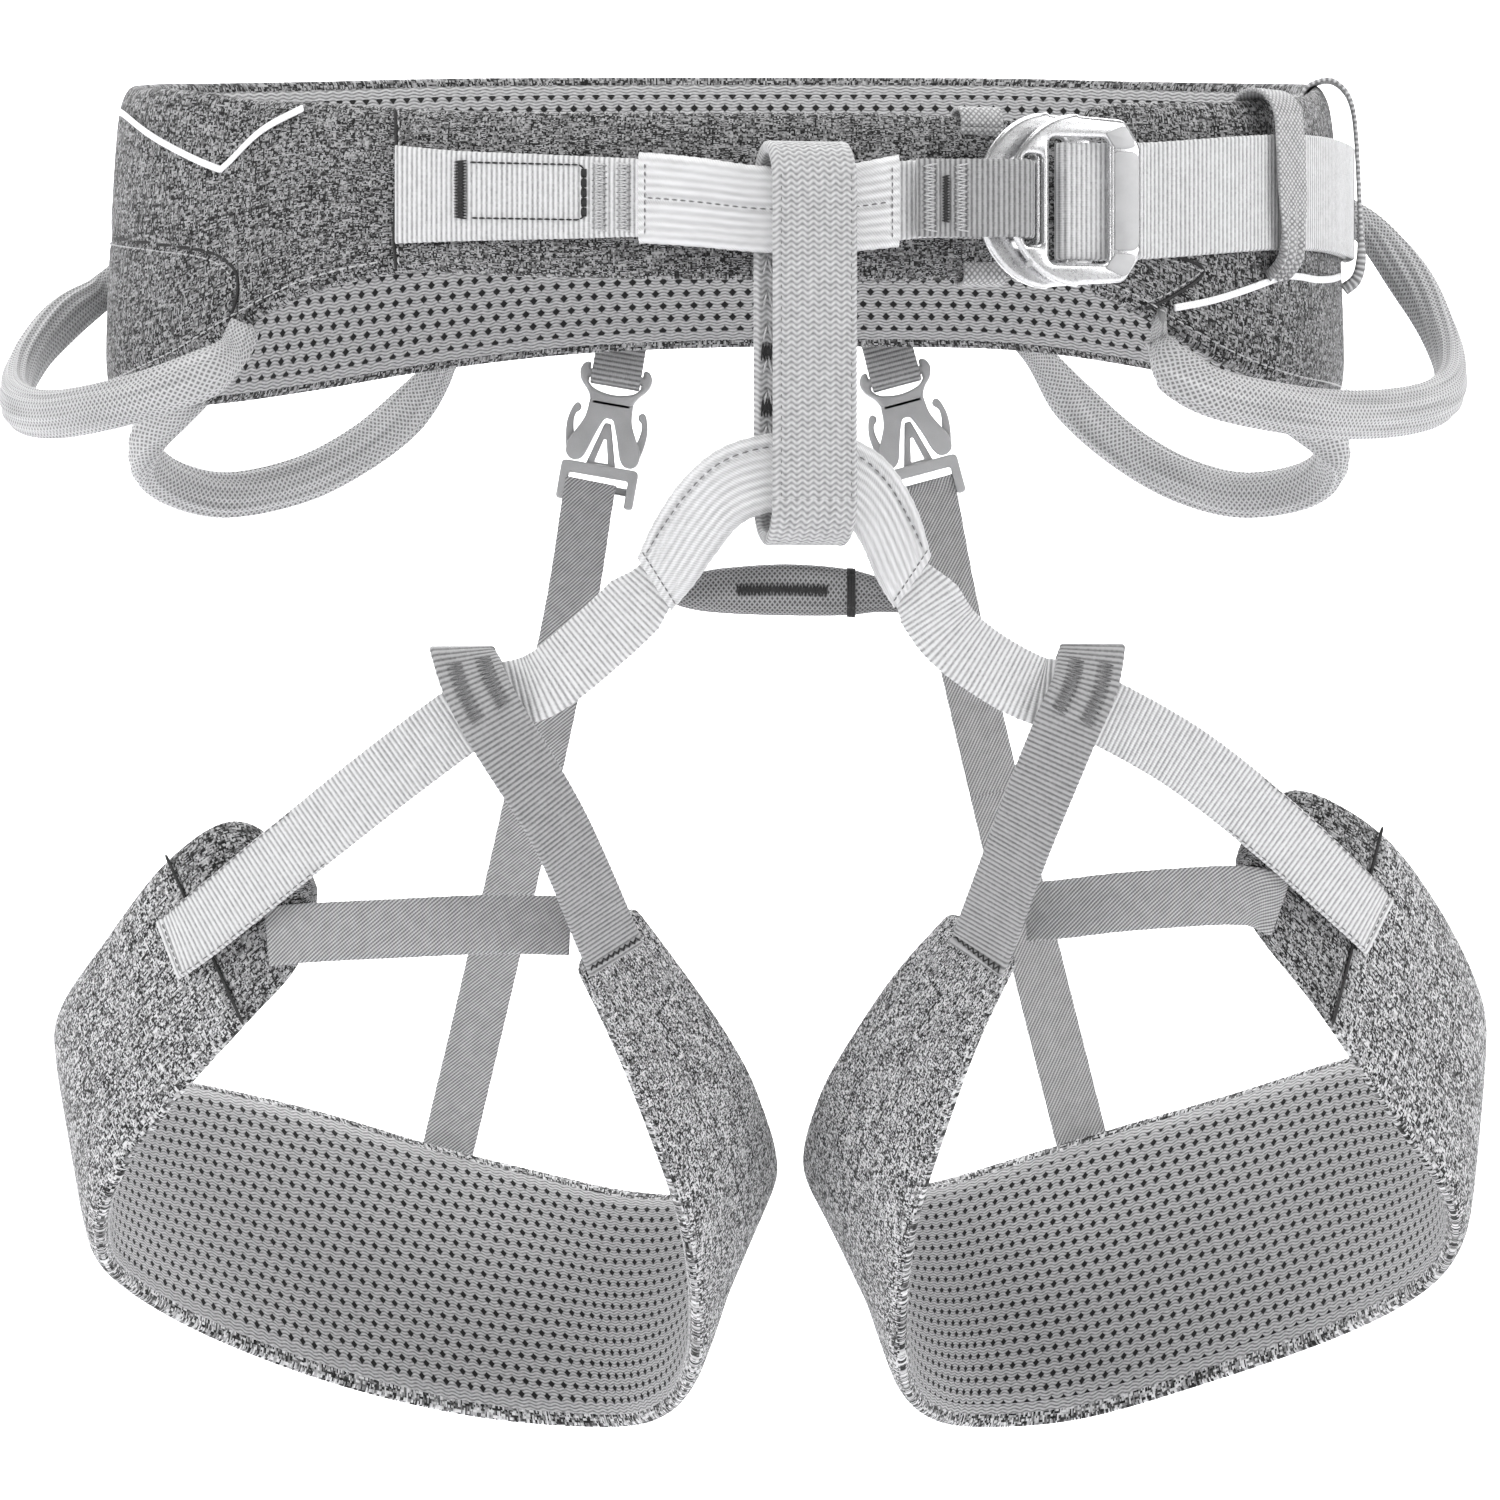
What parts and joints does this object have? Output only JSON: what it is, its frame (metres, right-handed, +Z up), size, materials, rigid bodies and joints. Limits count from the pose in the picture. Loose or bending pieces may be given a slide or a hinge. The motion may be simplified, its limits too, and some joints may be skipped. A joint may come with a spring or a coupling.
{
  "type": "climbing harness",
  "caption": "Sit harness with a padded waist belt, two-plate buckle, belay loop, padded leg loops, rear release buckles and stiff gear loops.",
  "frame": {"origin": "centre of the waist opening, at the mid height of the belt's front", "axes": "+Z up along the wearer's spine, -Y to the wearer's front, +X to the wearer's left"},
  "size_m": [0.3947, 0.264, 0.3726],
  "materials": {
    "heather_fabric": "melange woven",
    "foam": "closed-cell foam",
    "mesh_lining": "perforated knit",
    "white_trim": "satin",
    "grey_webbing": "ribbed webbing",
    "grey_elastic": "twill elastic",
    "keeper_tape": "mesh tape",
    "white_sleeve": "tubular weave",
    "white_webbing": "wave weave",
    "dark_braid": "braided tube",
    "gear_sheath": "braided sheath",
    "gear_core": "moulded",
    "grey_plastic": "satin",
    "aluminium": "polished"
  },
  "bodies": {
    "root": {"belt_outer_fabric": "heather_fabric", "belt_foam": "foam", "belt_mesh_lining": "mesh_lining", "left_trim": "white_trim", "right_trim": "white_trim", "tongue_keeper": "keeper_tape", "side_keeper": "keeper_tape", "front_keeper": "keeper_tape", "waist_webbing": "grey_webbing", "waist_sleeve": "white_sleeve", "buckle_strap": "grey_webbing", "adjust_webbing": "grey_webbing", "buckle_rear_plate": "aluminium", "bridge_webbing": "grey_webbing", "bridge_sleeve": "white_sleeve", "link_tube": "dark_braid", "left_rear_tab": "grey_webbing", "left_buckle_yoke": "grey_plastic", "left_buckle_front_cheek": "grey_plastic", "left_buckle_rear_cheek": "grey_plastic", "right_rear_tab": "grey_webbing", "right_buckle_yoke": "grey_plastic", "right_buckle_front_cheek": "grey_plastic", "right_buckle_rear_cheek": "grey_plastic"},
    "buckle_front": {"buckle_front_plate": "aluminium"},
    "belay": {"belay_loop": "white_webbing"},
    "left_leg": {"left_leg_outer_fabric": "heather_fabric", "left_leg_foam": "foam", "left_leg_mesh_lining": "mesh_lining", "left_leg_webbing": "grey_webbing", "left_inner_webbing": "grey_webbing", "left_thigh_elastic": "grey_elastic", "left_drop_strap": "grey_elastic"},
    "left_release": {"left_buckle_frame": "grey_plastic"},
    "left_latch_a": {"left_latch_a": "grey_plastic"},
    "left_latch_b": {"left_latch_b": "grey_plastic"},
    "right_leg": {"right_leg_outer_fabric": "heather_fabric", "right_leg_foam": "foam", "right_leg_mesh_lining": "mesh_lining", "right_leg_webbing": "grey_webbing", "right_inner_webbing": "grey_webbing", "right_thigh_elastic": "grey_elastic", "right_drop_strap": "grey_elastic"},
    "right_release": {"right_buckle_frame": "grey_plastic"},
    "right_latch_a": {"right_latch_a": "grey_plastic"},
    "right_latch_b": {"right_latch_b": "grey_plastic"},
    "front_left_gear_loop": {"front_left_gear_sheath": "gear_sheath", "front_left_gear_core": "gear_core"},
    "rear_left_gear_loop": {"rear_left_gear_sheath": "gear_sheath", "rear_left_gear_core": "gear_core"},
    "front_right_gear_loop": {"front_right_gear_sheath": "gear_sheath", "front_right_gear_core": "gear_core"},
    "rear_right_gear_loop": {"rear_right_gear_sheath": "gear_sheath", "rear_right_gear_core": "gear_core"}
  },
  "joints": [
    {"name": "buckle_plate_tilt", "type": "hinge", "parent": "root", "child": "buckle_front", "pos_m": [0.07371, -0.11968, 0.0039], "axis": [0, 0, -1], "range_deg": [0, 25]},
    {"name": "belay_loop_twist", "type": "hinge", "parent": "root", "child": "belay", "pos_m": [0.0206, -0.1274, -0.0331], "axis": [0, 0, 1], "range_deg": [-13, 1.5]},
    {"name": "left_leg_swing", "type": "hinge", "parent": "root", "child": "left_leg", "pos_m": [-0.0176, -0.118, -0.0938], "axis": [1, 0, 0], "range_deg": [-8, 14], "stiffness_Nm_per_rad": 0.6, "springref_deg": 7.59, "deforming": ["left_drop_strap"]},
    {"name": "left_buckle_release", "type": "slide", "parent": "root", "child": "left_release", "axis": [-0.1736, 0, -0.9848], "range_m": [0, 0.025], "deforming": ["left_drop_strap"]},
    {"name": "left_latch_a_flex", "type": "hinge", "parent": "left_release", "child": "left_latch_a", "pos_m": [-0.0428, 0.1176, -0.0544], "axis": [0, 1, 0], "range_deg": [0, 7], "stiffness_Nm_per_rad": 0.05},
    {"name": "left_latch_b_flex", "type": "hinge", "parent": "left_release", "child": "left_latch_b", "pos_m": [-0.02705, 0.1176, -0.05718], "axis": [0, -1, 0], "range_deg": [0, 7], "stiffness_Nm_per_rad": 0.05},
    {"name": "right_leg_swing", "type": "hinge", "parent": "root", "child": "right_leg", "pos_m": [0.0479, -0.118, -0.0938], "axis": [1, 0, 0], "range_deg": [-8, 14], "stiffness_Nm_per_rad": 0.6, "springref_deg": 7.79, "deforming": ["right_drop_strap"]},
    {"name": "right_buckle_release", "type": "slide", "parent": "root", "child": "right_release", "axis": [0.2588, 0, -0.9659], "range_m": [0, 0.025], "deforming": ["right_drop_strap"]},
    {"name": "right_latch_a_flex", "type": "hinge", "parent": "right_release", "child": "right_latch_a", "pos_m": [0.04571, 0.1162, -0.05734], "axis": [0, 1, 0], "range_deg": [0, 7], "stiffness_Nm_per_rad": 0.05},
    {"name": "right_latch_b_flex", "type": "hinge", "parent": "right_release", "child": "right_latch_b", "pos_m": [0.06117, 0.1162, -0.0532], "axis": [0, -1, 0], "range_deg": [0, 7], "stiffness_Nm_per_rad": 0.05},
    {"name": "front_left_gear_loop_lift", "type": "hinge", "parent": "root", "child": "front_left_gear_loop", "pos_m": [-0.1475, -0.0265, -0.023], "axis": [-0.37, 0.9114, 0.1805], "range_deg": [0, 16], "stiffness_Nm_per_rad": 0.3, "springref_deg": 0.33},
    {"name": "rear_left_gear_loop_lift", "type": "hinge", "parent": "root", "child": "rear_left_gear_loop", "pos_m": [-0.115, 0.085, -0.0375], "axis": [0.8258, 0.5427, 0.1534], "range_deg": [0, 16], "stiffness_Nm_per_rad": 0.3, "springref_deg": 0.12},
    {"name": "front_right_gear_loop_lift", "type": "hinge", "parent": "root", "child": "front_right_gear_loop", "pos_m": [0.1425, -0.039, -0.014], "axis": [-0.4935, -0.8251, -0.275], "range_deg": [0, 16], "stiffness_Nm_per_rad": 0.3, "springref_deg": 0.4},
    {"name": "rear_right_gear_loop_lift", "type": "hinge", "parent": "root", "child": "rear_right_gear_loop", "pos_m": [0.122, 0.0835, -0.037], "axis": [0.8038, -0.5556, -0.2128], "range_deg": [0, 16], "stiffness_Nm_per_rad": 0.3, "springref_deg": 0.13}
  ],
  "couplings": [
    {"joint": "left_latch_b_flex", "follows": "left_latch_a_flex", "ratio": 1},
    {"joint": "right_latch_b_flex", "follows": "right_latch_a_flex", "ratio": 1}
  ]
}
